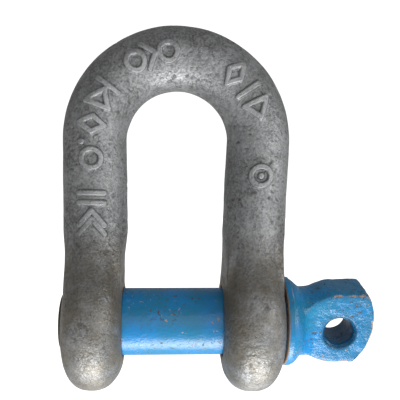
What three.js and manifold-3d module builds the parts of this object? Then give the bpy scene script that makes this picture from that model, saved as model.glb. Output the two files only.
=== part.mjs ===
// A forged dee shackle with a screw pin, in millimetres, +Z up.
//
// The origin is on the pin's axis, midway between the two ears. +X runs along the pin towards
// its head, +Z up the legs to the crown. The plain ear is on +X, the threaded ear on -X.

import * as THREE from 'three';
import { ParametricGeometry } from 'three/addons/geometries/ParametricGeometry.js';
import { mergeVertices } from 'three/addons/utils/BufferGeometryUtils.js';
import Module from 'manifold-3d';

const wasm = await Module();
wasm.setup();

// The body: one round bar bent to a D, its ends forged into eyes.
const LEG_RADIUS = 13.4;
const CROWN_RADIUS = 13.85;
const BEND_RADIUS = 34.95; // of the bar's centre line round the crown
const BEND_HEIGHT = 77.2; // of the bend's centre over the pin's axis
const EYE_RADIUS = 28.6;
const EYE_CENTRE = { left: -33.2, right: 32.8 };
const EYE_HALF_WIDTH = { left: 12.2, right: 12.9 };
const HOLE_SLANT = THREE.MathUtils.degToRad(0.75); // the holes are this far out of square with the legs
const EYE_FLAT_RADIUS = 11.4; // inside this radius the eye's faces are flat
const EYE_ROUNDING = 2.36; // power of the curve that rounds an eye's faces into its rim
const NECK_FILLET = 30; // between the eye's round outline and the leg
const NECK_MIX = { from: 19, to: 36 }; // heights over which the eye's section turns into the leg's

// The holes through the eyes.
const PLAIN_HOLE_RADIUS = 15;
const HOLE_EDGE = 1.2; // rounding of the plain hole's mouths, made as a chamfer
const HOLE_SIDES = 48;
const SINK_DEPTH = 2.2; // of the recess in the left eye that takes the end of the pin's shank

// The thread, right-handed, in the left eye and on the pin's end.
const PITCH = 3.5;
const THREAD_MAJOR = 13.9;
const THREAD_ROOT = 11.9;
const THREAD_CREST_HALF = 0.25; // half the width of the pin's crest
const FLANK_SLOPE = Math.tan(Math.PI / 6);
const THREAD_CLEARANCE = 0.4;
const STEPS_PER_TURN = 24;
const GROOVE_OVERLAP = 0.1; // how far the groove's solid starts inside the hole's
const RIDGE_OVERLAP = 0.5; // how far the ridge's solid starts inside the pin's core

// The pin, forged and turned in one piece.
const PIN_RADIUS = 14;
const PIN_SIDES = 48;
const TIP_X = -46.9;
const TIP_CHAMFER = 2.6;
const THREAD_END_X = -21.4; // where the thread runs out into the plain shank
const SHANK_EDGE = 0.6; // chamfer where the plain shank starts
const THREAD_TIP_EDGE = 0.6; // depth of the chamfer on the thread's first root
const COLLAR_X = 46.1;
const COLLAR_RADIUS = 18.7;
const COLLAR_WIDTH = 3;
const COLLAR_EDGE = 0.8; // chamfer of the collar's rim
const CONE_RADIUS = 18.3; // where the cone behind the collar starts
const CONE_END_X = 54;
const NECK_RADIUS = 14.7;
const FLARE = { from: 55.5, to: 68, radius: 18.2 }; // the lug's round blank, widening from the neck
const LUG_END_X = 84.2;
const LUG_END_RADIUS = 27.3; // of the arc that the lug's end is trimmed to
const LUG_END_ACROSS = 2.5; // of that arc's centre
const LUG_HALF_WIDTH = 16.9;
const LUG_HALF_THICKNESS = 8.5;
const LUG_RAMP_RADIUS = 7; // of the step that the dies leave where the flats begin
const LUG_FLAT_X = 60; // where the flats begin, on the pin's axis
const LUG_TURN = THREE.MathUtils.degToRad(19); // the lug's flats lean this far from upright
const LUG_HOLE = { x: 69.8, across: -1.5, radius: 6.3, chamfer: 1.5 };

// The steel inside the pin is a separate rod, so that the screwing motion has a carrier.
const CORE_RADIUS = 5;
const CORE_END_X = 50;
const GAP = 0.3;

const MARGIN = 1; // how far a cutting solid reaches past what it cuts
const LUG_START_X = LUG_FLAT_X - LUG_RAMP_RADIUS - MARGIN / 2; // the lug's end of the turned blank

const galvanised = new THREE.MeshStandardMaterial({ color: 0x8a8b89, roughness: 0.55, metalness: 0.6 });
const bluePaint = new THREE.MeshStandardMaterial({ color: 0x1b6aa6, roughness: 0.4, metalness: 0.1 });
const bareSteel = new THREE.MeshStandardMaterial({ color: 0x5a554c, roughness: 0.5, metalness: 0.9 });

// A closed geometry as a manifold-3d solid. Triangles that have shrunk to a line are dropped.
function solid(geometry) {
  const bare = geometry.clone();
  bare.deleteAttribute('normal');
  bare.deleteAttribute('uv');
  const merged = mergeVertices(bare, 1e-4);
  const index = merged.index.array;
  const kept = [];
  for (let i = 0; i < index.length; i += 3) {
    const [a, b, c] = [index[i], index[i + 1], index[i + 2]];
    if (a !== b && b !== c && c !== a) kept.push(a, b, c);
  }
  return new wasm.Manifold(new wasm.Mesh({
    numProp: 3,
    vertProperties: merged.attributes.position.array,
    triVerts: new Uint32Array(kept),
  }));
}

function geometryOf(manifold) {
  const mesh = manifold.getMesh();
  const geometry = new THREE.BufferGeometry();
  geometry.setAttribute('position', new THREE.BufferAttribute(mesh.vertProperties, 3));
  geometry.setIndex(new THREE.BufferAttribute(mesh.triVerts, 1));
  geometry.computeVertexNormals();
  return geometry;
}

// A solid of revolution about the X axis from a list of [x, radius].
function turned(profile, sides = PIN_SIDES) {
  const points = profile.map(([x, radius]) => new THREE.Vector2(radius, x));
  const geometry = new THREE.LatheGeometry(points, sides);
  geometry.rotateZ(-Math.PI / 2);
  return solid(geometry);
}

// ---- The shackle body ----

function smoothstep(value, low, high) {
  const t = THREE.MathUtils.clamp((value - low) / (high - low), 0, 1);
  return t * t * (3 - 2 * t);
}

// Half the width of the forging, front to back, at a height: the eye's circle, a fillet, the bar.
function sectionHalfDepth(z) {
  const filletY = LEG_RADIUS + NECK_FILLET;
  const filletZ = Math.sqrt((EYE_RADIUS + NECK_FILLET) ** 2 - filletY ** 2);
  const tangentZ = filletZ * EYE_RADIUS / (EYE_RADIUS + NECK_FILLET);
  if (z < tangentZ) return Math.sqrt(Math.max(0, EYE_RADIUS ** 2 - z ** 2));
  if (z < filletZ) return filletY - Math.sqrt(NECK_FILLET ** 2 - (filletZ - z) ** 2);
  return LEG_RADIUS;
}

// Half the thickness of an eye at a distance from the pin's axis.
function eyeHalfThickness(distance, halfWidth) {
  const reach = (distance - EYE_FLAT_RADIUS) / (EYE_RADIUS - EYE_FLAT_RADIUS);
  const t = THREE.MathUtils.clamp(reach, 0, 1);
  return halfWidth * (1 - t ** EYE_ROUNDING) ** (1 / EYE_ROUNDING);
}

// A point of the leg and eye on one side, at a height and an angle round the section.
function legPoint(side, z, angle, target) {
  const halfDepth = sectionHalfDepth(z);
  const y = halfDepth * Math.sin(angle);
  const distance = z < 0 ? Math.hypot(y, z) : EYE_RADIUS * Math.abs(y) / halfDepth;
  const eye = eyeHalfThickness(distance, EYE_HALF_WIDTH[side]);
  const leg = LEG_RADIUS * Math.abs(Math.cos(angle));
  const mix = smoothstep(z, NECK_MIX.from, NECK_MIX.to);
  const outward = Math.sign(Math.round(Math.cos(angle) * 1e6)) * THREE.MathUtils.lerp(eye, leg, mix);
  const legX = side === 'left' ? -BEND_RADIUS : BEND_RADIUS;
  const rise = THREE.MathUtils.clamp((z - NECK_MIX.from) / (BEND_HEIGHT - NECK_MIX.from), 0, 1);
  const centreX = THREE.MathUtils.lerp(EYE_CENTRE[side], legX, rise);
  return target.set(centreX + (side === 'left' ? outward : -outward), y, z);
}

// A point of the crown, at an angle round the bend and an angle round the bar.
function crownPoint(bend, angle, target) {
  const bar = THREE.MathUtils.lerp(LEG_RADIUS, CROWN_RADIUS, Math.sin(bend));
  const reach = BEND_RADIUS - bar * Math.cos(angle);
  return target.set(reach * Math.cos(bend), bar * Math.sin(angle), BEND_HEIGHT + reach * Math.sin(bend));
}

// The body's surface, from the foot of the left eye over the crown to the foot of the right eye.
const FOOT_STEPS = 9;
const EYE_STEPS = 13;
const LEG_STEPS = 3;
const CROWN_STEPS = 28;
const LEG_START = 42;
const SIDE_STEPS = FOOT_STEPS + EYE_STEPS + LEG_STEPS;
const BODY_STEPS = 2 * SIDE_STEPS + CROWN_STEPS;
const BAR_SIDES = 32;

function sideHeight(step) {
  if (step <= FOOT_STEPS) return -EYE_RADIUS * Math.cos(step / FOOT_STEPS * Math.PI / 2);
  if (step <= FOOT_STEPS + EYE_STEPS) return (step - FOOT_STEPS) / EYE_STEPS * LEG_START;
  const above = step - FOOT_STEPS - EYE_STEPS;
  return THREE.MathUtils.lerp(LEG_START, BEND_HEIGHT, above / LEG_STEPS);
}

function bodySurface(u, v, target) {
  const angle = 2 * Math.PI * u;
  const step = Math.round(v * BODY_STEPS);
  if (step <= SIDE_STEPS) return legPoint('left', sideHeight(step), angle, target);
  if (step >= SIDE_STEPS + CROWN_STEPS) {
    return legPoint('right', sideHeight(BODY_STEPS - step), angle, target);
  }
  return crownPoint(Math.PI * (1 - (step - SIDE_STEPS) / CROWN_STEPS), angle, target);
}

// ---- The thread ----

// A right-handed helix round the X axis, with frames that keep its section square to the axis.
class Helix extends THREE.Curve {
  constructor(radius, startX, turns) {
    super();
    Object.assign(this, { radius, startX, turns });
  }

  getPoint(t, target = new THREE.Vector3()) {
    const angle = 2 * Math.PI * this.turns * t;
    return target.set(
      this.startX + PITCH * this.turns * t, this.radius * Math.cos(angle), this.radius * Math.sin(angle),
    );
  }

  getPointAt(t, target) {
    return this.getPoint(t, target);
  }

  computeFrenetFrames(segments) {
    const frames = { tangents: [], normals: [], binormals: [] };
    for (let i = 0; i <= segments; i++) {
      const angle = 2 * Math.PI * this.turns * i / segments;
      frames.tangents.push(new THREE.Vector3(0, -Math.sin(angle), Math.cos(angle)));
      frames.normals.push(new THREE.Vector3(0, Math.cos(angle), Math.sin(angle)));
      frames.binormals.push(new THREE.Vector3(-1, 0, 0));
    }
    return frames;
  }
}

// A ridge wound round the axis: its crest, its foot and the width it gains from flank to flank.
function threadRidge(crestRadius, footRadius, crestHalf, startX, endX) {
  const footHalf = crestHalf + (crestRadius - footRadius) * FLANK_SLOPE;
  const section = new THREE.Shape([
    new THREE.Vector2(0, -footHalf),
    new THREE.Vector2(crestRadius - footRadius, -crestHalf),
    new THREE.Vector2(crestRadius - footRadius, crestHalf),
    new THREE.Vector2(0, footHalf),
  ]);
  const turns = (endX - startX) / PITCH;
  const path = new Helix(footRadius, startX, turns);
  const steps = Math.ceil(turns * STEPS_PER_TURN);
  return solid(new THREE.ExtrudeGeometry(section, { steps, extrudePath: path }));
}

// What the tap takes out of the left eye: a hole and a groove, wider than the pin's thread all round.
function tappedHole() {
  const from = EYE_CENTRE.left - EYE_HALF_WIDTH.left - 3 * MARGIN;
  const to = EYE_CENTRE.left + EYE_HALF_WIDTH.left + 3 * MARGIN;
  const minor = THREAD_ROOT + THREAD_CLEARANCE;
  const sinkRadius = PIN_RADIUS + THREAD_CLEARANCE;
  const sinkX = EYE_CENTRE.left + EYE_HALF_WIDTH.left - SINK_DEPTH;
  const hole = turned([
    [from, 0], [from, minor], [sinkX, minor], [sinkX, sinkRadius], [to, sinkRadius], [to, 0],
  ], HOLE_SIDES);
  const crestHalf = THREAD_CREST_HALF + THREAD_CLEARANCE * (1 / Math.cos(Math.PI / 6) - FLANK_SLOPE);
  const foot = minor - GROOVE_OVERLAP;
  const firstTurn = TIP_X - Math.ceil((TIP_X - from) / PITCH) * PITCH;
  const groove = threadRidge(THREAD_MAJOR + THREAD_CLEARANCE, foot, crestHalf, firstTurn, to);
  return hole.add(groove);
}

function plainHole() {
  const inner = EYE_CENTRE.right - EYE_HALF_WIDTH.right;
  const outer = EYE_CENTRE.right + EYE_HALF_WIDTH.right;
  const mouth = PLAIN_HOLE_RADIUS + HOLE_EDGE + MARGIN;
  return turned([
    [inner - MARGIN, 0], [inner - MARGIN, mouth], [inner + HOLE_EDGE, PLAIN_HOLE_RADIUS],
    [outer - HOLE_EDGE, PLAIN_HOLE_RADIUS], [outer + MARGIN, mouth], [outer + MARGIN, 0],
  ], HOLE_SIDES);
}

function shackleBody() {
  const surface = new ParametricGeometry(bodySurface, BAR_SIDES, BODY_STEPS);
  const bar = solid(surface.rotateY(HOLE_SLANT));
  return bar.subtract(tappedHole()).subtract(plainHole());
}

// ---- The screw pin ----

// Tip, thread core, shank, collar and the round blank that the lug is pressed from.
function pinBlank() {
  const collarEnd = COLLAR_X + COLLAR_WIDTH;
  const profile = [
    [TIP_X, 0], [TIP_X, PIN_RADIUS - TIP_CHAMFER], [TIP_X + THREAD_TIP_EDGE, THREAD_ROOT],
    [THREAD_END_X - SHANK_EDGE, THREAD_ROOT], [THREAD_END_X - SHANK_EDGE, PIN_RADIUS - SHANK_EDGE],
    [THREAD_END_X, PIN_RADIUS],
    [COLLAR_X, PIN_RADIUS], [COLLAR_X, COLLAR_RADIUS - COLLAR_EDGE],
    [COLLAR_X + COLLAR_EDGE, COLLAR_RADIUS], [collarEnd - COLLAR_EDGE, COLLAR_RADIUS],
  ];
  const coneSteps = 6;
  for (let i = 0; i <= coneSteps; i++) {
    const t = i / coneSteps;
    const x = THREE.MathUtils.lerp(collarEnd, CONE_END_X, t);
    profile.push([x, THREE.MathUtils.lerp(CONE_RADIUS, NECK_RADIUS, smoothstep(t, 0, 1))]);
  }
  const flareSteps = 6;
  for (let i = 0; i <= flareSteps; i++) {
    const t = i / flareSteps;
    const x = THREE.MathUtils.lerp(FLARE.from, FLARE.to, t);
    profile.push([x, THREE.MathUtils.lerp(NECK_RADIUS, FLARE.radius, smoothstep(t, 0, 1))]);
  }
  profile.push([LUG_END_X + MARGIN, FLARE.radius], [LUG_END_X + MARGIN, 0]);
  return turned(profile);
}

function pinThread() {
  const startX = TIP_X - PITCH;
  const foot = THREAD_ROOT - RIDGE_OVERLAP;
  const ridge = threadRidge(THREAD_MAJOR, foot, THREAD_CREST_HALF, startX, THREAD_END_X);
  const endX = THREAD_END_X + MARGIN;
  const firstX = TIP_X + THREAD_TIP_EDGE / 2;
  const envelope = turned([
    [firstX, 0], [firstX, PIN_RADIUS - TIP_CHAMFER + THREAD_TIP_EDGE / 2],
    [TIP_X + TIP_CHAMFER, PIN_RADIUS], [endX, PIN_RADIUS], [endX, 0],
  ]);
  return ridge.intersect(envelope);
}

// A slab of an outline, centred on the outline's plane.
function slab(shape, halfDepth) {
  const geometry = new THREE.ExtrudeGeometry(shape, {
    depth: 2 * halfDepth, bevelEnabled: false, curveSegments: 14,
  });
  return geometry.translate(0, 0, -halfDepth);
}

// What the lug is trimmed to, in plan: straight sides and a round end with sharp corners.
function lugTrim() {
  const startX = LUG_START_X - MARGIN;
  const low = Math.asin((-LUG_HALF_WIDTH - LUG_END_ACROSS) / LUG_END_RADIUS);
  const high = Math.asin((LUG_HALF_WIDTH - LUG_END_ACROSS) / LUG_END_RADIUS);
  const plan = new THREE.Shape();
  plan.moveTo(startX, LUG_HALF_WIDTH);
  plan.lineTo(startX, -LUG_HALF_WIDTH);
  plan.absarc(LUG_END_X - LUG_END_RADIUS, LUG_END_ACROSS, LUG_END_RADIUS, low, high, false);
  plan.closePath();
  return solid(slab(plan, 2 * FLARE.radius).rotateX(Math.PI / 2 + LUG_TURN));
}

// One die's bite: everything over a flat, with a round step towards the neck.
function flatBite(turn) {
  const low = LUG_HALF_THICKNESS;
  const top = 2 * FLARE.radius;
  const bite = new THREE.Shape();
  bite.moveTo(LUG_END_X + MARGIN, low);
  bite.lineTo(LUG_END_X + MARGIN, top);
  bite.lineTo(LUG_FLAT_X - LUG_RAMP_RADIUS, top);
  bite.absarc(LUG_FLAT_X, low + LUG_RAMP_RADIUS, LUG_RAMP_RADIUS, Math.PI, 1.5 * Math.PI, false);
  bite.closePath();
  return solid(slab(bite, 2 * FLARE.radius).rotateX(turn));
}

// The hole for a bar or a mousing wire, chamfered at both flats.
function lugHole() {
  const { x, across, radius, chamfer } = LUG_HOLE;
  const wide = radius + chamfer + MARGIN;
  const end = LUG_HALF_THICKNESS + MARGIN;
  const throat = LUG_HALF_THICKNESS - chamfer;
  const profile = [
    new THREE.Vector2(0, -end), new THREE.Vector2(wide, -end), new THREE.Vector2(radius, -throat),
    new THREE.Vector2(radius, throat), new THREE.Vector2(wide, end), new THREE.Vector2(0, end),
  ];
  const geometry = new THREE.LatheGeometry(profile, 32);
  return solid(geometry.translate(x, 0, across).rotateX(LUG_TURN));
}

function coreRod(radius, startX, endX) {
  return turned([[startX, 0], [startX, radius], [endX, radius], [endX, 0]], 24);
}

function screwPin() {
  const blank = pinBlank();
  const [head, shank] = blank.splitByPlane([1, 0, 0], LUG_START_X);
  const lug = head.intersect(lugTrim())
    .subtract(flatBite(LUG_TURN))
    .subtract(flatBite(Math.PI + LUG_TURN));
  const bore = coreRod(CORE_RADIUS + GAP, TIP_X - MARGIN, CORE_END_X + GAP);
  return shank.add(lug).add(pinThread()).subtract(lugHole()).subtract(bore);
}

function named(name, manifold, material) {
  const mesh = new THREE.Mesh(geometryOf(manifold), material);
  mesh.name = name;
  return mesh;
}

const shackle = new THREE.Group();
shackle.add(named('shackle_body', shackleBody(), galvanised));
shackle.add(named('screw_pin', screwPin(), bluePaint));
shackle.add(named('pin_core', coreRod(CORE_RADIUS, TIP_X, CORE_END_X), bareSteel));

export default shackle;
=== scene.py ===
# A forged dee shackle with its screw pin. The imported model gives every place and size, in metres.
# The body runs up +Z from the pin's axis, and the pin lies along X with its head on +X.
import math

import bmesh
import bpy
from mathutils import Matrix, Vector, noise


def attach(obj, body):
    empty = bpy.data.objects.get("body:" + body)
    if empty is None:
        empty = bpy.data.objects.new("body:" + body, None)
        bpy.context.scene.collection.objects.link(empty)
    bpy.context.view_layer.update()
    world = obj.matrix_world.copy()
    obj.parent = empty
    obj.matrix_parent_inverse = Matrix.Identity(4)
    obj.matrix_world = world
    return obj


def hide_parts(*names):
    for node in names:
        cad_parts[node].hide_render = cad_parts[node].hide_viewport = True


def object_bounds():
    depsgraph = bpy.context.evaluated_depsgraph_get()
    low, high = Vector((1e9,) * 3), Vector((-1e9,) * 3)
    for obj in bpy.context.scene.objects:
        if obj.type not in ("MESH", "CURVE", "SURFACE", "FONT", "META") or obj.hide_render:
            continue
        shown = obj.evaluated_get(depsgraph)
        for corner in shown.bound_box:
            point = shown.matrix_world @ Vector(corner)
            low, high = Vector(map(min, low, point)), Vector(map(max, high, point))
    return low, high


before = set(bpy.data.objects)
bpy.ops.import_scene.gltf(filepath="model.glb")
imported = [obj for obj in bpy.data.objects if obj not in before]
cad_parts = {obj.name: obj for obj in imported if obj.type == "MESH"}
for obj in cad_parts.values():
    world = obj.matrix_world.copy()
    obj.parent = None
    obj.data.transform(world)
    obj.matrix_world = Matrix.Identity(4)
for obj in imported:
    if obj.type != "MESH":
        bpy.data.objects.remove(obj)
cad_low, cad_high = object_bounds()
MM = 0.001

# ---------------------------------------------------------------------------------------------
# The studio: the shackle stands on its two eyes on a pale floor in a white room. Most of its light
# comes from a wide lamp below, which the floor lets through, and the rest from ahead and the right.
# ---------------------------------------------------------------------------------------------
LENS_MM = 52.47
CAMERA_PLACE = Vector((-3.0, -250.0, 48.5)) * MM
CAMERA_YAW = math.radians(3.2)
CAMERA_PITCH = math.radians(0.73)
CAMERA_ROLL = math.radians(0.3)

lens = bpy.data.cameras.new("camera")
lens.sensor_width = 36.0
lens.lens = LENS_MM
lens.clip_start = 0.01
camera = bpy.data.objects.new("camera", lens)
camera.location = CAMERA_PLACE
look = Matrix.Rotation(-CAMERA_YAW, 4, "Z") @ Matrix.Rotation(math.pi / 2 + CAMERA_PITCH, 4, "X")
camera.matrix_world = Matrix.Translation(CAMERA_PLACE) @ look @ Matrix.Rotation(CAMERA_ROLL, 4, "Z")
bpy.context.scene.collection.objects.link(camera)
bpy.context.scene.camera = camera
bpy.context.scene.view_settings.view_transform = "Standard"

FLOOR_HALF = 4.0
FLOOR_LIGHT = 0.3
ROOM_LIGHT = 0.3
SEEN_WHITE = 1.1


def seen_or_lighting(tree, seen, lighting):
    """A strength with one value where the camera looks straight at it and another for its light."""
    path = tree.nodes.new("ShaderNodeLightPath")
    strength = tree.nodes.new("ShaderNodeMapRange")
    strength.inputs["To Min"].default_value = lighting
    strength.inputs["To Max"].default_value = seen
    tree.links.new(path.outputs["Is Camera Ray"], strength.inputs["Value"])
    return strength.outputs["Result"]


floor_mesh = bpy.data.meshes.new("floor")
bm = bmesh.new()
bmesh.ops.create_grid(bm, x_segments=1, y_segments=1, size=FLOOR_HALF)
bmesh.ops.translate(bm, verts=bm.verts, vec=(0, 0, cad_low.z))
bm.to_mesh(floor_mesh)
bm.free()
white_floor = bpy.data.materials.new("white_floor")
white_floor.use_nodes = True
floor_shader = white_floor.node_tree.nodes["Principled BSDF"]
floor_shader.inputs["Base Color"].default_value = (0.9, 0.9, 0.9, 1.0)
floor_shader.inputs["Roughness"].default_value = 0.8
floor_shader.inputs["Emission Color"].default_value = (1.0, 1.0, 1.0, 1.0)
floor_glow = seen_or_lighting(white_floor.node_tree, SEEN_WHITE, FLOOR_LIGHT)
white_floor.node_tree.links.new(floor_glow, floor_shader.inputs["Emission Strength"])
floor_mesh.materials.append(white_floor)
floor = bpy.data.objects.new("floor", floor_mesh)
bpy.context.scene.collection.objects.link(floor)
floor.visible_shadow = False

room = bpy.data.worlds.new("white_room")
room.use_nodes = True
background = room.node_tree.nodes["Background"]
background.inputs["Color"].default_value = (1.0, 1.0, 1.0, 1.0)
room_glow = seen_or_lighting(room.node_tree, SEEN_WHITE, ROOM_LIGHT)
room.node_tree.links.new(room_glow, background.inputs["Strength"])
bpy.context.scene.world = room


def lamp(name, place, aim, size, power):
    """A soft oblong lamp at a place, facing a point, both in metres."""
    light = bpy.data.lights.new(name, "AREA")
    light.shape = "RECTANGLE"
    light.size, light.size_y = size
    light.energy = power
    lamp_object = bpy.data.objects.new(name, light)
    lamp_object.location = place
    lamp_object.rotation_euler = (Vector(aim) - Vector(place)).to_track_quat("-Z", "Y").to_euler()
    bpy.context.scene.collection.objects.link(lamp_object)


lamp("below", (0.1, -0.2, -0.95), (0, 0, 0.0), (0.6, 0.55), 20.0)
lamp("right", (0.55, -0.4, 0.05), (0, 0, 0.05), (0.4, 0.4), 2.2)
lamp("front", (0.1, -0.6, 0.1), (0, 0, 0.05), (0.5, 0.5), 0.8)

# ---------------------------------------------------------------------------------------------
# The shackle body: one round steel bar, drop forged to a D, with an eye at each end. It is built as
# it is forged: the eyes are rings round the pin's axis, and the bar grows out of the left one, up,
# round the crown and down into the right one.
# ---------------------------------------------------------------------------------------------
LEG_RADIUS = 13.4
CROWN_RADIUS = 13.85
BEND_RADIUS = 34.95
BEND_HEIGHT = 77.2
EYE_RADIUS = 28.6
EYE_CENTRE = {-1: -33.2, 1: 32.8}
EYE_HALF_WIDTH = {-1: 12.2, 1: 12.9}
EYE_FLAT_RADIUS = 11.4
EYE_ROUNDING = 2.36
EYE_HOLE_RADIUS = {-1: 14.3, 1: 15.0}
MOUTH_RADIUS = 1.2
FACE_END_RADIUS = 19.5
HOLE_SLANT = math.radians(0.75)
LEG_START = 40.0
STRAIGHT_FROM = 19.0
PITCH = 3.5
THREAD_MAJOR = 13.9
THREAD_ROOT = 11.9
THREAD_START_X = -46.9
THREAD_CREST_HALF = 0.25
THREAD_CLEARANCE = 0.4
SINK_DEPTH = 2.2
RECESS_RUN = 0.5

SPIN_STEPS = 126
GAP_STEPS = 34
RIM_STEPS = 36
WALL_STEPS = {-1: 52, 1: 7}
MOUTH_STEPS = 5
FACE_STEPS = 5
NECK_STEPS = 34
BAR_SIDES = 2 * (GAP_STEPS + RIM_STEPS)
RING_SPACING = 0.66
WELD = 0.02


def eye_half_thickness(radius, half_width):
    """Half the thickness of an eye at a distance from the pin's axis."""
    reach = min(max((radius - EYE_FLAT_RADIUS) / (EYE_RADIUS - EYE_FLAT_RADIUS), 0.0), 1.0)
    return half_width * (1 - reach ** EYE_ROUNDING) ** (1 / EYE_ROUNDING)


def eye_profile(side):
    """The closed section of an eye as (offset along the pin, radius): wall, mouth, face, rim and back."""
    half, hole = EYE_HALF_WIDTH[side], EYE_HOLE_RADIUS[side]
    wall_steps = WALL_STEPS[side]
    mouth_x = eye_half_thickness(hole + MOUTH_RADIUS, half) - MOUTH_RADIUS
    front = [(mouth_x * t / wall_steps, hole) for t in range(1, wall_steps)]
    for step in range(MOUTH_STEPS + 1):
        turn = math.pi / 2 * step / MOUTH_STEPS
        front.append((mouth_x + MOUTH_RADIUS * math.sin(turn), hole + MOUTH_RADIUS * (1 - math.cos(turn))))
    for step in range(1, FACE_STEPS + 1):
        radius = hole + MOUTH_RADIUS + (FACE_END_RADIUS - hole - MOUTH_RADIUS) * step / FACE_STEPS
        front.append((eye_half_thickness(radius, half), radius))
    reach_end = (FACE_END_RADIUS - EYE_FLAT_RADIUS) / (EYE_RADIUS - EYE_FLAT_RADIUS)
    turn_end = math.acos(reach_end ** (EYE_ROUNDING / 2))
    for step in range(1, RIM_STEPS // 2):
        turn = turn_end * (1 - 2 * step / RIM_STEPS)
        reach = math.cos(turn) ** (2 / EYE_ROUNDING)
        front.append((
            half * math.sin(turn) ** (2 / EYE_ROUNDING),
            EYE_FLAT_RADIUS + (EYE_RADIUS - EYE_FLAT_RADIUS) * reach,
        ))
    back = [(-x, radius) for x, radius in reversed(front)]
    return [(0.0, hole)] + front + [(0.0, EYE_RADIUS)] + back


def spin_eye(bm, side):
    """Spins an eye round the pin's axis and opens a gap at its top for the neck."""
    profile = eye_profile(side)
    start = [bm.verts.new(((EYE_CENTRE[side] + side * x) * MM, 0, -radius * MM)) for x, radius in profile]
    edges = [bm.edges.new(pair) for pair in zip(start, start[1:] + start[:1])]
    bmesh.ops.spin(
        bm, geom=start + edges, cent=(0, 0, 0), axis=(1, 0, 0), dvec=(0, 0, 0),
        angle=2 * math.pi, steps=SPIN_STEPS, use_merge=True,
    )
    gap = math.pi * GAP_STEPS / SPIN_STEPS
    over = []
    for face in bm.faces:
        centre = face.calc_center_median()
        if side * centre.x < 0 or centre.z > LEG_START * MM:
            continue
        on_rim = math.hypot(centre.y, centre.z) > FACE_END_RADIUS * MM
        if on_rim and abs(math.atan2(centre.y, centre.z)) < gap:
            over.append(face)
    bmesh.ops.delete(bm, geom=over, context="FACES")


def thread_height(x, angle):
    """How far up the thread's flank a point lies, from 0 at the root to 1 at the crest."""
    phase = ((x - THREAD_START_X) / PITCH - angle / (2 * math.pi)) % 1.0
    off_crest = min(phase, 1 - phase) * PITCH
    flank = (THREAD_MAJOR - THREAD_ROOT) * math.tan(math.pi / 6)
    rise = min(max(1 - (off_crest - THREAD_CREST_HALF) / flank, 0.0), 1.0)
    return rise * rise * (3 - 2 * rise)


def tap_left_eye(bm):
    """Cuts the thread into the left eye's hole, up to the plain recess at its inner mouth."""
    inner_face = EYE_CENTRE[-1] + EYE_HALF_WIDTH[-1]
    hole = EYE_HOLE_RADIUS[-1]
    for vert in bm.verts:
        radius = math.hypot(vert.co.y, vert.co.z) / MM
        x = vert.co.x / MM
        if x > 0 or abs(radius - hole) > 0.01:
            continue
        to_recess = min(max((inner_face - SINK_DEPTH - x) / RECESS_RUN, 0.0), 1.0)
        groove = thread_height(x, math.atan2(vert.co.z, vert.co.y))
        root = THREAD_ROOT + THREAD_CLEARANCE
        depth = (1 - groove) * (hole - root) * to_recess
        scale = (radius - depth) / radius
        vert.co.y *= scale
        vert.co.z *= scale


def gap_rim(bm, side):
    """The vertices round an eye's gap in order, from the middle of its outer face towards +Y."""
    rim = {
        edge for edge in bm.edges
        if edge.is_boundary and side * edge.verts[0].co.x > 0 and edge.verts[0].co.z < 0.9 * LEG_START * MM
    }
    corners = {vert for edge in rim for vert in edge.verts}
    start = max(corners, key=lambda vert: side * vert.co.x - 100 * abs(vert.co.y))
    first = max((e.other_vert(start) for e in start.link_edges if e in rim), key=lambda vert: vert.co.y)
    ring = [start, first]
    while len(ring) < len(corners):
        here, before = ring[-1], ring[-2]
        ring.append(next(
            e.other_vert(here) for e in here.link_edges if e in rim and e.other_vert(here) is not before
        ))
    return ring


def leg_centre(side, z):
    rise = min(max((z - STRAIGHT_FROM) / (BEND_HEIGHT - STRAIGHT_FROM), 0.0), 1.0)
    return EYE_CENTRE[side] + (side * BEND_RADIUS - EYE_CENTRE[side]) * rise


def leg_ring(side, z):
    """The places of a ring round a leg, from its outer side towards +Y."""
    centre = leg_centre(side, z)
    turns = [2 * math.pi * i / BAR_SIDES for i in range(BAR_SIDES)]
    return [
        Vector((centre + side * LEG_RADIUS * math.cos(t), LEG_RADIUS * math.sin(t), z)) * MM for t in turns
    ]


def crown_ring(bend):
    """The places of a ring round the crown, at an angle round the bend from +X."""
    bar = LEG_RADIUS + (CROWN_RADIUS - LEG_RADIUS) * math.sin(bend)
    places = []
    for i in range(BAR_SIDES):
        turn = 2 * math.pi * i / BAR_SIDES
        reach = BEND_RADIUS + bar * math.cos(turn)
        places.append(Vector((
            reach * math.cos(bend), bar * math.sin(turn), BEND_HEIGHT + reach * math.sin(bend),
        )) * MM)
    return places


def extrude_ring(bm, ring, places):
    """Extrudes a closed ring of vertices once and moves the new vertices to their places, in order."""
    edges = [bm.edges.get(pair) for pair in zip(ring, ring[1:] + ring[:1])]
    grown = bmesh.ops.extrude_edge_only(bm, edges=edges)["geom"]
    fresh = {item for item in grown if isinstance(item, bmesh.types.BMVert)}
    result = []
    for vert, place in zip(ring, places):
        above = next(e.other_vert(vert) for e in vert.link_edges if e.other_vert(vert) in fresh)
        above.co = place
        result.append(above)
    return result


def leaving_direction(place, index):
    """The way a neck strand leaves the eye: outwards from a face, along the rim from the rim."""
    gap_half, blend = GAP_STEPS // 2, 6
    along = min(index % (BAR_SIDES // 2), BAR_SIDES // 2 - index % (BAR_SIDES // 2))
    rim_share = min(max((along - gap_half + blend) / (2 * blend), 0.0), 1.0)
    angle = math.atan2(place.y, place.z)
    outwards = Vector((0, math.sin(angle), math.cos(angle)))
    round_rim = Vector((0, -math.copysign(math.cos(angle), angle), abs(math.sin(angle))))
    return outwards.lerp(round_rim, rim_share).normalized()


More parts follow.
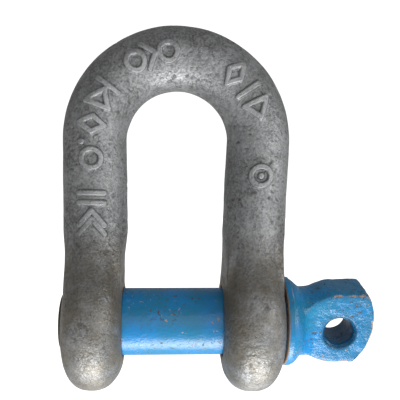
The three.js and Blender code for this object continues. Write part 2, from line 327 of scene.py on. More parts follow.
def grow_neck(bm, rim, side):
    """Extrudes the neck from an eye's gap up to the round bar, on a smooth curve for each vertex."""
    feet = [vert.co.copy() for vert in rim]
    tops = leg_ring(side, LEG_START)
    ring = rim
    for step in range(1, NECK_STEPS + 1):
        t = step / NECK_STEPS
        places = []
        for index, (foot, top) in enumerate(zip(feet, tops)):
            span = (top - foot).length
            leave = leaving_direction(foot, index) * span
            arrive = Vector((0, 0, 1)) * span
            places.append(
                foot * (2 * t**3 - 3 * t**2 + 1) + leave * (t**3 - 2 * t**2 + t)
                + top * (3 * t**2 - 2 * t**3) + arrive * (t**3 - t**2)
            )
        ring = extrude_ring(bm, ring, places)
    return ring


bm = bmesh.new()
spin_eye(bm, -1)
ring = grow_neck(bm, gap_rim(bm, -1), -1)
leg_steps = round((BEND_HEIGHT - LEG_START) / RING_SPACING)
leg_heights = [LEG_START + (BEND_HEIGHT - LEG_START) * step / leg_steps for step in range(leg_steps + 1)]
for height in leg_heights[1:]:
    ring = extrude_ring(bm, ring, leg_ring(-1, height))
crown_steps = round(math.pi * BEND_RADIUS / RING_SPACING)
for step in range(1, crown_steps + 1):
    ring = extrude_ring(bm, ring, crown_ring(math.pi * (1 - step / crown_steps)))
for height in reversed(leg_heights[:-1]):
    ring = extrude_ring(bm, ring, leg_ring(1, height))
spin_eye(bm, 1)
grow_neck(bm, gap_rim(bm, 1), 1)
bmesh.ops.remove_doubles(bm, verts=bm.verts, dist=WELD * MM)
bmesh.ops.recalc_face_normals(bm, faces=bm.faces)
tap_left_eye(bm)

# The raised marks of a drop forging. Real ones give a load and a maker, so these are plain shapes:
# strokes between points (along the bar, across it) and rings (along, across, radius), in mm from the
# start of the crown's bend on the left.
MARK_RELIEF = 1.2
STROKE_HALF = 0.8
STROKE_EDGE = 0.65
MARK_REACH = 6.6
PATH_LENGTH = math.pi * BEND_RADIUS
MARKS_ABOVE = 0.8 * LEG_START


def chevron(along, width=3.0):
    return [((along - width, -5), (along + width, 0)), ((along + width, 0), (along - width, 5))]


def cross_bar(along, half=5.0):
    return [((along, -half), (along, half))]


def lozenge(along, half=3.2):
    tips = [(along - half, 0), (along, -5), (along + half, 0), (along, 5)]
    return list(zip(tips, tips[1:] + tips[:1]))


def triangle(along, half=3.4):
    tips = [(along - half, -4.8), (along + half, 0), (along - half, 4.8)]
    return list(zip(tips, tips[1:] + tips[:1]))


STROKES = (
    chevron(-37) + chevron(-33.5) + cross_bar(-27.5) + cross_bar(-23.5) + lozenge(4.5) + triangle(16)
    + cross_bar(21.5) + chevron(43, 2.2) + lozenge(80) + cross_bar(88.5) + triangle(97.5)
)
RINGS = [(-9.5, 0, 3.8), (-2.8, 3.8, 0.2), (36.5, 0, 3.6), (50.5, 0, 3.6), (125, 0, 3.9), (125, 0, 0.2)]


def along_bar(place):
    """Where a point of the bar lies: (distance along from the bend's start, angle round from -Y)."""
    x, y, z = place / MM
    if z > BEND_HEIGHT:
        bend = math.atan2(z - BEND_HEIGHT, x)
        along = BEND_RADIUS * (math.pi - bend)
        outward = math.hypot(x, z - BEND_HEIGHT) - BEND_RADIUS
    else:
        side = -1 if x < 0 else 1
        outward = side * (x - leg_centre(side, z))
        along = z - BEND_HEIGHT if side < 0 else PATH_LENGTH + BEND_HEIGHT - z
    return along, math.atan2(outward, -y)


def off_stroke(along, across, stroke):
    """The distance from a point to a stroke."""
    (a, b), (c, d) = stroke
    run, climb = c - a, d - b
    t = min(max(((along - a) * run + (across - b) * climb) / (run * run + climb * climb), 0.0), 1.0)
    return math.hypot(along - a - t * run, across - b - t * climb)


def mark_height(along, across):
    """How high a mark stands at a point, from 0 to 1."""
    off = min(off_stroke(along, across, stroke) for stroke in STROKES)
    off = min([off] + [abs(math.hypot(along - a, across - b) - radius) for a, b, radius in RINGS])
    rise = min(max(1 - (off - STROKE_HALF) / STROKE_EDGE, 0.0), 1.0)
    return rise * rise * (3 - 2 * rise)


def near_marks(along, across, margin):
    """Whether a point of the bar is where the marks are."""
    runs = [(-42, -19), (-15.5, 26), (31, 56), (75, 103), (119, 131)]
    return abs(across) < MARK_REACH + margin and any(a - margin < along < b + margin for a, b in runs)


fine = []
for edge in bm.edges:
    along, turn = along_bar((edge.verts[0].co + edge.verts[1].co) / 2)
    if edge.verts[0].co.z > MARKS_ABOVE * MM and near_marks(along, turn * LEG_RADIUS, 0):
        fine.append(edge)
bmesh.ops.subdivide_edges(bm, edges=fine, cuts=1, use_grid_fill=True)


def smooth_between(value, low, high):
    t = min(max((value - low) / (high - low), 0.0), 1.0)
    return t * t * (3 - 2 * t)


# The holes are bored a little out of square with the legs: everything but the holes leans.
LEAN_FROM, LEAN_TO = 16.5, 26.0
for vert in bm.verts:
    off_axis = math.hypot(vert.co.y, vert.co.z) / MM
    lean = HOLE_SLANT * smooth_between(off_axis, LEAN_FROM, LEAN_TO)
    vert.co = Matrix.Rotation(lean, 3, "Y") @ vert.co

# Skin of the forging: the marks, the seam where the dies met, waves left by the hammer, and pits.
WAVE_MM, WAVE_SIZE = 0.2, 15.0
RIPPLE_MM, RIPPLE_SIZE = 0.07, 4.5
SEAM_MM, SEAM_HALF, SEAM_BREAK_SIZE = 0.16, 0.9, 9.0
PIT_MM, PIT_SIZE, PIT_CLUSTER_SIZE = 0.18, 1.5, 16.0
CLUSTER_SHIFT = Vector((7, 3, 1))
SKIN_FROM, SKIN_TO = 15.2, 18.0
unleaned = Matrix.Rotation(-HOLE_SLANT, 3, "Y")
relief_layer = bm.verts.layers.float.new("mark")
pit_layer = bm.verts.layers.float.new("pit")
bm.normal_update()
moves = []
for vert in bm.verts:
    place = vert.co / MM
    skin = smooth_between(math.hypot(vert.co.y, vert.co.z) / MM, SKIN_FROM, SKIN_TO)
    along, turn = along_bar(unleaned @ vert.co)
    mark = 0.0
    if place.z > MARKS_ABOVE and near_marks(along, turn * LEG_RADIUS, 2.0):
        mark = mark_height(along, turn * LEG_RADIUS)
    wave = WAVE_MM * noise.noise(place / WAVE_SIZE) + RIPPLE_MM * noise.noise(place / RIPPLE_SIZE)
    broken = 0.6 + 0.8 * noise.noise(place / SEAM_BREAK_SIZE)
    seam = SEAM_MM * math.exp(-(place.y / SEAM_HALF) ** 2) * broken
    cluster = smooth_between(noise.noise(place / PIT_CLUSTER_SIZE + CLUSTER_SHIFT), -0.05, 0.35)
    pit = smooth_between(noise.noise(place / PIT_SIZE), 0.28, 0.5) * cluster * (1 - mark)
    moves.append(vert.normal * skin * (MARK_RELIEF * mark + wave + seam - PIT_MM * pit) * MM)
    vert[relief_layer] = mark
    vert[pit_layer] = pit
for vert, move in zip(bm.verts, moves):
    vert.co += move
bmesh.ops.recalc_face_normals(bm, faces=bm.faces)

body_mesh = bpy.data.meshes.new("forged_body")
bm.to_mesh(body_mesh)
bm.free()
body_mesh.shade_smooth()
body = bpy.data.objects.new("forged_body", body_mesh)
bpy.context.scene.collection.objects.link(body)


def add_node(tree, kind, inputs=None, **settings):
    """Adds a node to a tree, with its settings and with a value or a link for each input named."""
    made = tree.nodes.new(kind)
    for name, value in settings.items():
        setattr(made, name, value)
    for name, value in (inputs or {}).items():
        if isinstance(value, bpy.types.NodeSocket):
            tree.links.new(value, made.inputs[name])
        else:
            made.inputs[name].default_value = value
    return made


def new_group(name, inputs, outputs):
    """A shader node group with float inputs (name: default) and float outputs."""
    tree = bpy.data.node_groups.new(name, "ShaderNodeTree")
    for socket_name, value in inputs.items():
        socket = tree.interface.new_socket(name=socket_name, in_out="INPUT", socket_type="NodeSocketFloat")
        socket.default_value = value
    for socket_name in outputs:
        tree.interface.new_socket(name=socket_name, in_out="OUTPUT", socket_type="NodeSocketFloat")
    return tree, tree.nodes.new("NodeGroupInput"), tree.nodes.new("NodeGroupOutput")


# Patches: soft-edged islands of a size in millimetres, for mottling, stains, grain and chips.
patches, taken, given = new_group("patches", {"Size": 5.0, "From": 0.4, "To": 0.6, "Shift": 0.0}, ["Mask"])
place = add_node(patches, "ShaderNodeTexCoord")
per_metre = add_node(patches, "ShaderNodeMath", {0: 1000.0, 1: taken.outputs["Size"]}, operation="DIVIDE")
cloud = add_node(patches, "ShaderNodeTexNoise", {
    "Vector": place.outputs["Object"], "W": taken.outputs["Shift"], "Scale": per_metre.outputs[0],
    "Detail": 4.0, "Roughness": 0.6,
}, noise_dimensions="4D")
mask = add_node(patches, "ShaderNodeMapRange", {
    "Value": cloud.outputs["Fac"], "From Min": taken.outputs["From"], "From Max": taken.outputs["To"],
}, interpolation_type="SMOOTHSTEP")
patches.links.new(mask.outputs["Result"], given.inputs["Mask"])

# Worn edges: where a convex edge (0 to 1) has been rubbed, broken up by a fine noise.
worn_edges, taken, given = new_group("worn_edges", {"Edge": 0.0, "Size": 2.0, "Amount": 0.5}, ["Mask"])
place = add_node(worn_edges, "ShaderNodeTexCoord")
per_metre = add_node(worn_edges, "ShaderNodeMath", {0: 1000.0, 1: taken.outputs["Size"]}, operation="DIVIDE")
crumbs = add_node(worn_edges, "ShaderNodeTexNoise", {
    "Vector": place.outputs["Object"], "Scale": per_metre.outputs[0], "Detail": 3.0, "Roughness": 0.6,
})
reach = add_node(worn_edges, "ShaderNodeMath", {
    0: taken.outputs["Edge"], 1: taken.outputs["Amount"],
}, operation="MULTIPLY")
both = add_node(worn_edges, "ShaderNodeMath", {
    0: reach.outputs[0], 1: crumbs.outputs["Fac"],
}, operation="ADD")
mask = add_node(worn_edges, "ShaderNodeMapRange", {
    "Value": both.outputs[0], "From Min": 0.78, "From Max": 0.9,
}, interpolation_type="SMOOTHSTEP")
worn_edges.links.new(mask.outputs["Result"], given.inputs["Mask"])


def patch_mask(tree, size, low, high, shift=0.0):
    """The mask of a patches group placed in a material."""
    group = add_node(tree, "ShaderNodeGroup", node_tree=patches)
    for name, value in (("Size", size), ("From", low), ("To", high), ("Shift", shift)):
        group.inputs[name].default_value = value
    return group.outputs["Mask"]


def blend_colour(tree, factor, under, over):
    """One colour laid over another by a mask; each is a socket or a linear RGB triple."""
    mixed = tree.nodes.new("ShaderNodeMix")
    mixed.data_type = "RGBA"
    for socket, value in ((mixed.inputs[0], factor), (mixed.inputs[6], under), (mixed.inputs[7], over)):
        if isinstance(value, bpy.types.NodeSocket):
            tree.links.new(value, socket)
        elif isinstance(value, tuple):
            socket.default_value = (*value, 1.0)
        else:
            socket.default_value = value
    return mixed.outputs[2]


def calculate(tree, operation, first, second, clamp=True):
    """A math node's result."""
    made = add_node(tree, "ShaderNodeMath", {0: first, 1: second}, operation=operation, use_clamp=clamp)
    return made.outputs[0]


def times(tree, first, second):
    """Two masks, or a mask and a share of it, multiplied."""
    return calculate(tree, "MULTIPLY", first, second)


def ramp(tree, value, low, high, to_low=0.0, to_high=1.0):
    """A value carried smoothly from one range to another."""
    return add_node(tree, "ShaderNodeMapRange", {
        "Value": value, "From Min": low, "From Max": high, "To Min": to_low, "To Max": to_high,
    }, interpolation_type="SMOOTHSTEP").outputs["Result"]


def distance_from_pin(tree):
    """Two sockets, in metres: the distance from the pin's axis, and the place along it."""
    place = add_node(tree, "ShaderNodeTexCoord")
    split = add_node(tree, "ShaderNodeSeparateXYZ", {0: place.outputs["Object"]})
    flat = add_node(tree, "ShaderNodeCombineXYZ", {1: split.outputs["Y"], 2: split.outputs["Z"]})
    length = add_node(tree, "ShaderNodeVectorMath", {0: flat.outputs[0]}, operation="LENGTH")
    return length.outputs["Value"], split.outputs["X"]


# Hot-dip zinc gone dull: grey clouds, fine grain, dark pits, paler rubbed crests, brown handling dirt
# on the eyes, a thin line of rust where water sits against the pin, and painted shade round the marks' feet.
ZINC_DARK, ZINC_MID, ZINC_PALE = (0.1, 0.102, 0.103), (0.19, 0.193, 0.195), (0.36, 0.365, 0.37)
# The darkest colour serves the pits and also the painted shade round the feet of the raised marks.
PIT_AND_SHADE_DARK, DIRT_BROWN, RUST = (0.035, 0.034, 0.032), (0.13, 0.108, 0.068), (0.17, 0.095, 0.045)
galvanised = bpy.data.materials.new("galvanised")
galvanised.use_nodes = True
tree = galvanised.node_tree
shader = tree.nodes["Principled BSDF"]
marks = add_node(tree, "ShaderNodeAttribute", attribute_name="mark").outputs["Fac"]
pitted = add_node(tree, "ShaderNodeAttribute", attribute_name="pit").outputs["Fac"]
off_axis, x_place = distance_from_pin(tree)
colour = blend_colour(tree, patch_mask(tree, 24, 0.35, 0.65), ZINC_DARK, ZINC_MID)
colour = blend_colour(tree, times(tree, patch_mask(tree, 5, 0.42, 0.7, 3), 0.4), colour, ZINC_PALE)
grain = patch_mask(tree, 0.95, 0.4, 0.6, 5)
colour = blend_colour(tree, times(tree, grain, 0.42), colour, ZINC_PALE)
coarse_grain = patch_mask(tree, 2.2, 0.5, 0.68, 6)
colour = blend_colour(tree, times(tree, coarse_grain, 0.4), colour, ZINC_DARK)
specks = times(
    tree, patch_mask(tree, 1.3, 0.53, 0.64, 8), patch_mask(tree, 12, 0.4, 0.58, 11),
)
dark = calculate(tree, "MAXIMUM", times(tree, specks, 0.55), times(tree, pitted, 0.65))
colour = blend_colour(tree, dark, colour, PIT_AND_SHADE_DARK)
rubbed = add_node(tree, "ShaderNodeGroup", {"Edge": marks, "Size": 3.0, "Amount": 0.55}, node_tree=worn_edges)
colour = blend_colour(tree, times(tree, rubbed.outputs["Mask"], 0.3), colour, ZINC_PALE)
dirt_zone = ramp(tree, off_axis, 0.017, 0.044, 1.0, 0.0)
dirt = times(tree, dirt_zone, patch_mask(tree, 9, 0.3, 0.62, 14))
colour = blend_colour(tree, times(tree, dirt, 0.85), colour, DIRT_BROWN)
by_shank = ramp(tree, off_axis, 0.0158, 0.018, 1.0, 0.0)
by_collar = times(
    tree, ramp(tree, off_axis, 0.0193, 0.0201, 1.0, 0.0), ramp(tree, x_place, 0.043, 0.0445),
)
rust_zone = calculate(tree, "MAXIMUM", by_shank, by_collar)
rust = times(tree, rust_zone, patch_mask(tree, 2.5, 0.3, 0.5, 17))
colour = blend_colour(tree, rust, colour, RUST)
# Painted shade: a dark ring round the foot of each raised mark, where its shadow would fall.
foot = times(tree, ramp(tree, marks, 0.02, 0.2), ramp(tree, marks, 0.35, 0.7, 1.0, 0.0))
colour = blend_colour(tree, times(tree, foot, 0.3), colour, PIT_AND_SHADE_DARK)
tree.links.new(colour, shader.inputs["Base Color"])
shader.inputs["Metallic"].default_value = 0.45
tree.links.new(ramp(tree, dark, 0.0, 1.0, 0.44, 0.8), shader.inputs["Roughness"])
height = calculate(tree, "ADD", times(tree, grain, 0.5), patch_mask(tree, 2.6, 0.3, 0.7, 20), False)
height = calculate(tree, "SUBTRACT", height, calculate(tree, "MULTIPLY", specks, 1.2, False), False)
height = calculate(tree, "SUBTRACT", height, calculate(tree, "MULTIPLY", coarse_grain, 0.8, False), False)
bump = add_node(tree, "ShaderNodeBump", {"Strength": 0.5, "Distance": 0.0002, "Height": height})
tree.links.new(bump.outputs["Normal"], shader.inputs["Normal"])
body_mesh.materials.append(galvanised)
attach(body, "shackle_body")
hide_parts("shackle_body")

# ---------------------------------------------------------------------------------------------
# The screw pin: one steel forging. Its shank and collar are turned, its end is threaded, and its lug
# is flattened between dies, trimmed to a round end, holed and painted blue with the rest.
# ---------------------------------------------------------------------------------------------
PIN_RADIUS = 14.0
TIP_CHAMFER = 2.6
THREAD_END_X = -21.4
SHANK_EDGE = 0.6
COLLAR_X = 46.1
COLLAR_RADIUS = 18.7
COLLAR_WIDTH = 3.0
COLLAR_EDGE = 0.8
CONE_RADIUS = 18.3
CONE_END_X = 54.0
NECK_RADIUS = 14.7
FLARE_FROM_X, FLARE_TO_X, FLARE_RADIUS = 55.5, 68.0, 18.2
LUG_END_X = 84.2
LUG_END_RADIUS = 27.3
LUG_END_ACROSS = 2.5
LUG_HALF_WIDTH = 16.9
LUG_HALF_THICKNESS = 8.5
LUG_RAMP_RADIUS = 7.0
LUG_FLAT_X = 60.0
LUG_TURN = math.radians(19)
LUG_HOLE_X, LUG_HOLE_ACROSS = 69.8, -1.5
LUG_HOLE_RADIUS, LUG_HOLE_CHAMFER = 6.3, 1.5
END_EDGE = 1.1
CURVED_FROM_X = 57.0
CORNER_POWER = 22

HOLE_LIP, HOLE_LIP_DROP = 0.35, 0.08
HOLE_FLAT_REACH = 1.6
PIN_SIDES = 144
EDGE_STEPS = 5
CHAMFER_STEPS = 4
SMOOTHING_ROUNDS = 12
THREAD_SPACING = 0.24
LUG_SPACING = 0.5

across_way = Vector((0, -math.sin(LUG_TURN), math.cos(LUG_TURN)))
front_way = Vector((0, -math.cos(LUG_TURN), -math.sin(LUG_TURN)))


def pin_ring(section):
    """The places of a ring round the pin: section gives (x, radius) at an angle from the lug's width."""
    places = []
    for i in range(PIN_SIDES):
        turn = 2 * math.pi * i / PIN_SIDES
        x, radius = section(turn)
        across, front = radius * math.cos(turn), radius * math.sin(turn)
        places.append((Vector((x, 0, 0)) + across_way * across + front_way * front) * MM)
    return places


def round_section(x, radius):
    return lambda turn: (x, radius)


def threaded_section(x):
    """The threaded end: the root, the ridge on it and the chamfer that both run into at the tip."""
    def section(turn):
        across = across_way * math.cos(turn) + front_way * math.sin(turn)
        rise = thread_height(x, math.atan2(across.z, across.y))
        radius = THREAD_ROOT + (THREAD_MAJOR - THREAD_ROOT) * rise
        return x, min(radius, PIN_RADIUS - TIP_CHAMFER + (x - THREAD_START_X))
    return section


def flat_height(x):
    """Half the lug's thickness along it: the step that the dies leave, then the flat."""
    if x >= LUG_FLAT_X:
        return LUG_HALF_THICKNESS
    if x <= LUG_FLAT_X - LUG_RAMP_RADIUS:
        return 2 * FLARE_RADIUS
    run = LUG_FLAT_X - x
    return LUG_HALF_THICKNESS + LUG_RAMP_RADIUS - math.sqrt(LUG_RAMP_RADIUS ** 2 - run * run)


def head_radius(x):
    """The round blank's radius from the cone behind the collar to the flared end."""
    if x < CONE_END_X:
        down_cone = smooth_between(x, COLLAR_X + COLLAR_WIDTH, CONE_END_X)
        return CONE_RADIUS + (NECK_RADIUS - CONE_RADIUS) * down_cone
    return NECK_RADIUS + (FLARE_RADIUS - NECK_RADIUS) * smooth_between(x, FLARE_FROM_X, FLARE_TO_X)


def end_x(across):
    """The lug's rounded end."""
    off_centre = across - LUG_END_ACROSS
    return LUG_END_X - LUG_END_RADIUS + math.sqrt(LUG_END_RADIUS ** 2 - off_centre ** 2)


def lug_section(x, shrink=0.0):
    """The lug's section: the round blank cut by two flats and two trimmed sides, on a curved station."""
    def section(turn):
        limits = [
            head_radius(x),
            flat_height(x) / max(abs(math.sin(turn)), 1e-6),
            LUG_HALF_WIDTH / max(abs(math.cos(turn)), 1e-6),
        ]
        nearest = min(limits)
        total = sum((nearest / limit) ** CORNER_POWER for limit in limits)
        radius = nearest * total ** (-1 / CORNER_POWER) - shrink
        share = max(x - CURVED_FROM_X, 0.0) / (LUG_END_X - CURVED_FROM_X)
        bow = (end_x(radius * math.cos(turn)) - LUG_END_X) * share ** 2
        return x + bow, radius
    return section


def end_cap_section(scale):
    """A ring of the lug's end face, scaled towards its middle."""
    outline = lug_section(LUG_END_X, END_EDGE)

    def section(turn):
        radius = outline(turn)[1] * scale
        return end_x(radius * math.cos(turn)), radius
    return section


def rounded_end_section(step, steps):
    """A ring of the rounding between the lug's sides and its end face."""
    turn_in = math.pi / 2 * step / steps
    base = lug_section(LUG_END_X, END_EDGE * (1 - math.cos(turn_in)))

    def section(turn):
        x, radius = base(turn)
        return x - END_EDGE * (1 - math.sin(turn_in)), radius
    return section


def stations(start, end, spacing):
    count = max(1, round((end - start) / spacing))
    return [start + (end - start) * i / count for i in range(count + 1)]


sections = [round_section(THREAD_START_X, radius) for radius in (2.0, 5.0, 8.0, 10.2, 11.0)]
shank_start = THREAD_END_X - SHANK_EDGE
sections += [threaded_section(x) for x in stations(THREAD_START_X + 0.05, shank_start, THREAD_SPACING)]
sections += [round_section(shank_start, PIN_RADIUS - SHANK_EDGE), round_section(THREAD_END_X, PIN_RADIUS)]
sections += [round_section(x, PIN_RADIUS) for x in stations(THREAD_END_X + 0.3, COLLAR_X - 0.4, 1.0)]
sections += [round_section(COLLAR_X, PIN_RADIUS + 0.2), round_section(COLLAR_X, 16.5)]
for step in range(EDGE_STEPS + 1):
    turn_in = math.pi / 2 * step / EDGE_STEPS
    sections.append(round_section(
        COLLAR_X + COLLAR_EDGE * (1 - math.cos(turn_in)),
        COLLAR_RADIUS - COLLAR_EDGE * (1 - math.sin(turn_in)),
    ))
collar_end = COLLAR_X + COLLAR_WIDTH
collar_stations = stations(COLLAR_X + COLLAR_EDGE + 0.3, collar_end - COLLAR_EDGE, 0.4)
sections += [round_section(x, COLLAR_RADIUS) for x in collar_stations]
sections += [round_section(collar_end - 0.3, COLLAR_RADIUS - 0.08)]
sections += [lug_section(x) for x in stations(collar_end, LUG_END_X - END_EDGE, LUG_SPACING)]
sections += [rounded_end_section(step, EDGE_STEPS) for step in range(1, EDGE_STEPS + 1)]
sections += [end_cap_section(scale) for scale in (0.93, 0.82, 0.68, 0.52, 0.36, 0.2, 0.08)]

bm = bmesh.new()
first = bmesh.ops.create_circle(bm, cap_ends=False, segments=PIN_SIDES, radius=MM)["verts"]
for vert, place in zip(first, pin_ring(round_section(THREAD_START_X, 0.4))):
    vert.co = place
ring = first
for section in sections:
    ring = extrude_ring(bm, ring, pin_ring(section))
bmesh.ops.pointmerge(bm, verts=first, merge_co=(THREAD_START_X * MM, 0, 0))
bmesh.ops.pointmerge(bm, verts=ring, merge_co=(LUG_END_X * MM, 0, 0))
bmesh.ops.recalc_face_normals(bm, faces=bm.faces)


def hole_offset(co):
    """A point's offset from the lug hole's axis: along the pin and across the lug, in mm."""
    return co.x / MM - LUG_HOLE_X, co.dot(across_way) / MM - LUG_HOLE_ACROSS


def open_flat(bm, side):
    """Opens the hole in one flat and returns its rim in order, drawn out to a circle."""
    mouth = LUG_HOLE_RADIUS + LUG_HOLE_CHAMFER
    inside = []
    for face in bm.faces:
        centre = face.calc_center_median()
        if side * centre.dot(front_way) < 0.9 * LUG_HALF_THICKNESS * MM:
            continue
        if math.hypot(*hole_offset(centre)) < mouth:
            inside.append(face)
    bmesh.ops.delete(bm, geom=inside, context="FACES")
    rim = {edge for edge in bm.edges if edge.is_boundary and side * edge.verts[0].co.dot(front_way) > 0}
    start = next(iter(sorted(rim, key=lambda edge: edge.verts[0].co.x))).verts[0]
    loop = [start]
    while True:
        here = loop[-1]
        onward = [e.other_vert(here) for e in here.link_edges if e in rim]
        onward = [v for v in onward if len(loop) < 2 or v is not loop[-2]]
        if len(loop) > 2 and start in onward:
            break
        loop.append(onward[0])
    angles = [math.atan2(*reversed(hole_offset(v.co))) for v in loop]
    way = 1 if sum(
        math.sin(b - a) for a, b in zip(angles, angles[1:] + angles[:1])
    ) > 0 else -1
    even = [angles[0] + way * 2 * math.pi * i / len(loop) for i in range(len(loop))]
    drift = sum(math.sin(a - b) for a, b in zip(angles, even)) / len(loop)
    for vert, angle in zip(loop, even):
        angle += drift
        height = vert.co.dot(front_way)
        vert.co = (
            Vector((LUG_HOLE_X + mouth * math.cos(angle), 0, 0)) * MM
            + across_way * (LUG_HOLE_ACROSS + mouth * math.sin(angle)) * MM + front_way * height
        )
    return loop


def sink_ring(bm, loop, radius, depth_from_middle, side):
    """Extrudes a rim inwards to a radius and a height over the lug's middle plane."""
    places = []
    for vert in loop:
        along, across = hole_offset(vert.co)
        shrink = radius / math.hypot(along, across)
        places.append(
            Vector(((LUG_HOLE_X + along * shrink) * MM, 0, 0))
            + across_way * (LUG_HOLE_ACROSS + across * shrink) * MM
            + front_way * side * depth_from_middle * MM
        )
    return extrude_ring(bm, loop, places)


throats = []
for side in (1, -1):
    loop = open_flat(bm, side)
    around = set(loop)
    for _ in range(3):
        around |= {v for vert in around for e in vert.link_edges for v in e.verts}
    around = [v for v in around if v not in set(loop)]
    for _ in range(SMOOTHING_ROUNDS):
        bmesh.ops.smooth_vert(bm, verts=around, factor=0.5, use_axis_x=True, use_axis_y=True, use_axis_z=True)
    for vert in around:
        if math.hypot(*hole_offset(vert.co)) < LUG_HOLE_RADIUS + LUG_HOLE_CHAMFER + HOLE_FLAT_REACH:
            vert.co += front_way * (side * LUG_HALF_THICKNESS * MM - vert.co.dot(front_way))
    lip_height = LUG_HALF_THICKNESS - HOLE_LIP_DROP
    ring = sink_ring(bm, loop, LUG_HOLE_RADIUS + LUG_HOLE_CHAMFER - HOLE_LIP, lip_height, side)
    for step in range(1, CHAMFER_STEPS + 1):
        t = step / CHAMFER_STEPS
        ring = sink_ring(
            bm, ring, LUG_HOLE_RADIUS + (LUG_HOLE_CHAMFER - HOLE_LIP) * (1 - t),
            LUG_HALF_THICKNESS - HOLE_LIP_DROP - (LUG_HOLE_CHAMFER - HOLE_LIP_DROP) * t, side,
        )
    for depth in (6.0, 4.5, 3.0, 1.5):
        ring = sink_ring(bm, ring, LUG_HOLE_RADIUS, depth, side)
    throats.append(ring)
edges = []
for ring in throats:
    edges += [bm.edges.get(pair) for pair in zip(ring, ring[1:] + ring[:1])]
bmesh.ops.bridge_loops(bm, edges=edges)
bmesh.ops.recalc_face_normals(bm, faces=bm.faces)

# Forged unevenness of the head, and how sharply each point stands out, which is where paint wears.
HEAD_WAVE_MM, HEAD_WAVE_SIZE = 0.22, 9.0
HEAD_RIPPLE_MM, HEAD_RIPPLE_SIZE = 0.16, 2.4
HEAD_SETTLE_MM = 0.1
EDGE_GAIN = 1.4
edge_layer = bm.verts.layers.float.new("edge")
bore_layer = bm.verts.layers.float.new("bore")
bm.normal_update()
moves = []
for vert in bm.verts:
    place = vert.co / MM
    forged = smooth_between(place.x, collar_end, CONE_END_X + 3)
    off_hole = math.hypot(*hole_offset(vert.co))
    in_hole = off_hole < LUG_HOLE_RADIUS + 0.2
    on_head = smooth_between(place.x, CONE_END_X, CONE_END_X + 1)
    # The bore mask: 1 in the hole, falling off over its chamfer; the paint uses it to darken the hole as
    # painted shade.
    vert[bore_layer] = on_head * smooth_between(
        off_hole, LUG_HOLE_RADIUS + LUG_HOLE_CHAMFER + 1.2, LUG_HOLE_RADIUS + 0.3)
    wave = HEAD_WAVE_MM * noise.noise(place / HEAD_WAVE_SIZE)
    wave += HEAD_RIPPLE_MM * noise.noise(place / HEAD_RIPPLE_SIZE)
    moves.append(vert.normal * (0.0 if in_hole else forged * (wave - HEAD_SETTLE_MM)) * MM)
    bends = [e.calc_face_angle_signed(0.0) / max(e.calc_length() / MM, 0.2) for e in vert.link_edges]
    vert[edge_layer] = min(max(sum(bends) / max(len(bends), 1) * EDGE_GAIN, 0.0), 1.0)
for vert, move in zip(bm.verts, moves):
    vert.co += move

pin_mesh = bpy.data.meshes.new("blue_pin")
bm.to_mesh(pin_mesh)
bm.free()
pin_mesh.shade_smooth()
pin_mesh.set_sharp_from_angle(angle=math.radians(48))
pin = bpy.data.objects.new("blue_pin", pin_mesh)
bpy.context.scene.collection.objects.link(pin)

# Blue enamel, thin and chipped: primer and steel show in scattered chips and along the lug's edges,
# the collar's bearing face is rubbed bare, the thread and the tip are oily steel, and the hole is painted
# dark as shade.
BLUE, BLUE_TEAL, BLUE_LIVELY = (0.002, 0.18, 0.46), (0.005, 0.155, 0.3), (0.008, 0.13, 0.27)
BORE_SHADE_BLUE = (0.004, 0.06, 0.13)
BARE_FACE = (0.34, 0.26, 0.19)
PRIMER, CHIP_DARK, OILY_STEEL = (0.3, 0.23, 0.2), (0.06, 0.06, 0.055), (0.07, 0.058, 0.04)
paint = bpy.data.materials.new("blue_paint")
paint.use_nodes = True
tree = paint.node_tree
shader = tree.nodes["Principled BSDF"]
sharp = add_node(tree, "ShaderNodeAttribute", attribute_name="edge").outputs["Fac"]
off_axis, x_place = distance_from_pin(tree)
colour = blend_colour(tree, patch_mask(tree, 14, 0.38, 0.62, 31), BLUE, BLUE_TEAL)
on_lug = ramp(tree, x_place, 0.058, 0.072)
lively = times(tree, on_lug, patch_mask(tree, 10, 0.3, 0.55, 34))
colour = blend_colour(tree, lively, colour, BLUE_LIVELY)
grain = patch_mask(tree, 1.0, 0.3, 0.7, 37)
colour = blend_colour(tree, times(tree, grain, 0.3), colour, BLUE_TEAL)
# Painted shade: the hole and its chamfer are darkened as if in shadow.
bored = add_node(tree, "ShaderNodeAttribute", attribute_name="bore").outputs["Fac"]
colour = blend_colour(tree, times(tree, bored, 0.85), colour, BORE_SHADE_BLUE)
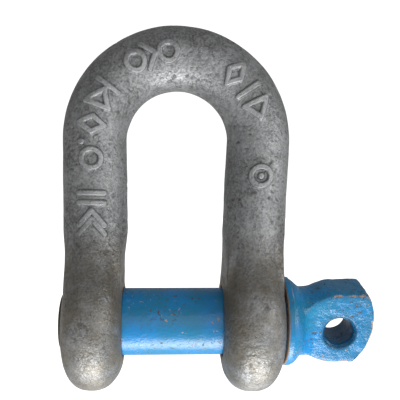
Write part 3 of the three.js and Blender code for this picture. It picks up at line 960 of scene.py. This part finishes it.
chips = times(tree, patch_mask(tree, 1.7, 0.6, 0.66, 40), patch_mask(tree, 12, 0.5, 0.58, 43))
dull_chips = times(tree, patch_mask(tree, 1.4, 0.58, 0.65, 46), patch_mask(tree, 14, 0.45, 0.56, 49))
colour = blend_colour(tree, dull_chips, colour, CHIP_DARK)
colour = blend_colour(tree, chips, colour, PRIMER)
end_zone = times(tree, ramp(tree, x_place, 0.0765, 0.0825), 0.3)
worn_from = calculate(tree, "ADD", sharp, end_zone)
worn_group = add_node(tree, "ShaderNodeGroup", {
    "Edge": worn_from, "Size": 3.5, "Amount": 0.42,
}, node_tree=worn_edges)
worn = times(tree, worn_group.outputs["Mask"], ramp(tree, bored, 0.0, 0.15, 1.0, 0.0))
colour = blend_colour(tree, worn, colour, PRIMER)
bearing = times(tree, ramp(tree, x_place, 0.0463, 0.0467, 1.0, 0.0), ramp(tree, off_axis, 0.0145, 0.015))
colour = blend_colour(tree, bearing, colour, BARE_FACE)
bare = ramp(tree, x_place, -0.0222, -0.0208, 1.0, 0.0)
colour = blend_colour(tree, bare, colour, OILY_STEEL)
tree.links.new(colour, shader.inputs["Base Color"])
shader.inputs["Specular IOR Level"].default_value = 0.5
gone = calculate(tree, "MAXIMUM", calculate(tree, "MAXIMUM", chips, dull_chips), worn)
tree.links.new(ramp(tree, gone, 0.0, 1.0, 0.28, 0.7), shader.inputs["Roughness"])
tree.links.new(times(tree, bare, 0.8), shader.inputs["Metallic"])
height = calculate(tree, "ADD", times(tree, grain, 0.25), patch_mask(tree, 4, 0.3, 0.7, 52), False)
height = calculate(tree, "SUBTRACT", height, calculate(tree, "MULTIPLY", gone, 0.9, False), False)
bumpy = ramp(tree, x_place, 0.044, 0.056, 0.35, 0.9)
bump = add_node(tree, "ShaderNodeBump", {"Strength": bumpy, "Distance": 0.00024, "Height": height})
tree.links.new(bump.outputs["Normal"], shader.inputs["Normal"])
pin_mesh.materials.append(paint)
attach(pin, "screw_pin")
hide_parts("screw_pin", "pin_core")
